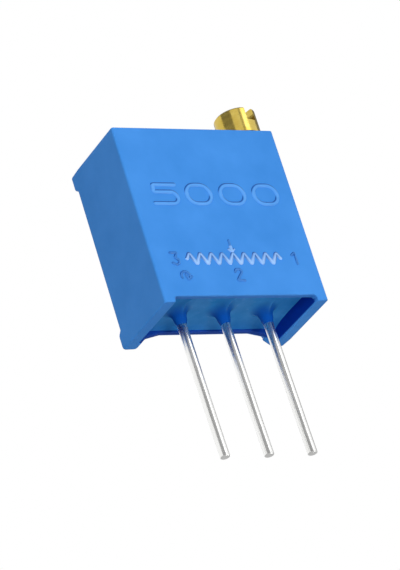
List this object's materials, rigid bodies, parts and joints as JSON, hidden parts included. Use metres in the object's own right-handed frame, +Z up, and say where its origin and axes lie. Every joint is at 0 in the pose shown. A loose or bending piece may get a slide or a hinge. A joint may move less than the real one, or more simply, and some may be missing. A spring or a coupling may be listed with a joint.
{
  "type": "trimmer potentiometer",
  "caption": "Upright multi-turn trimmer potentiometer: blue moulded case with raised marks, slotted brass adjusting screw on top, and straight tinned pins in line below.",
  "frame": {"origin": "Middle of the pin row, on the plane of the feet, which is the circuit board's surface.", "axes": "+Z points up, away from the board, along the pins and the adjusting screw. +X points right as seen from the marked front face. +Y points from the marked front towards the back with its four pads."},
  "size_m": [0.0096, 0.0049, 0.0189],
  "materials": {
    "housing_plastic": "satin, as moulded from glass-filled thermoplastic, with slightly rounded edges and raised marks",
    "screw_brass": "turned, with fine rings round the head and a bright bevel",
    "o_ring_rubber": "smooth black rubber",
    "clip_steel": "stamped spring steel",
    "rotor_plastic": "natural white moulded plastic, satin",
    "wiper_metal": "thin rolled spring alloy, bright",
    "plate_ceramic": "fired alumina, fine matte grain",
    "resistor_film": "dark cermet film, printed and fired",
    "conductor_film": "grey silver film, printed and fired",
    "pin_tin": "hot-tinned round wire, drawn lines under a bright coat",
    "solder_tin": "reflowed solder, satin and slightly frosted",
    "potting_epoxy": "poured blue epoxy, glossy, drawn up in fillets round the pins and walls"
  },
  "bodies": {
    "body": {"housing": "housing_plastic", "o_ring": "o_ring_rubber", "retaining_clip": "clip_steel", "ceramic_plate": "plate_ceramic", "resistive_track": "resistor_film", "collector_track": "conductor_film", "end_pad_1": "conductor_film", "end_pad_3": "conductor_film", "terminal_pin_1": "pin_tin", "terminal_pin_2": "pin_tin", "terminal_pin_3": "pin_tin", "solder_joint_1": "solder_tin", "solder_joint_2": "solder_tin", "solder_joint_3": "solder_tin", "potting": "potting_epoxy"},
    "screw": {"adjusting_screw": "screw_brass"},
    "wiper": {"rotor": "rotor_plastic", "wiper_contact": "wiper_metal"}
  },
  "joints": [
    {"name": "screw_turn", "type": "hinge", "parent": "body", "child": "screw", "pos_m": [0.00356, -0.00128, 0.01079], "axis": [0, 0, 1], "range_deg": [-4500, 4500]},
    {"name": "rotor_turn", "type": "hinge", "parent": "body", "child": "wiper", "pos_m": [0, -0.00128, 0.0059], "axis": [0, 1, 0], "range_deg": [-150, 150]}
  ],
  "couplings": [
    {"joint": "rotor_turn", "follows": "screw_turn", "ratio": 0.033333}
  ]
}
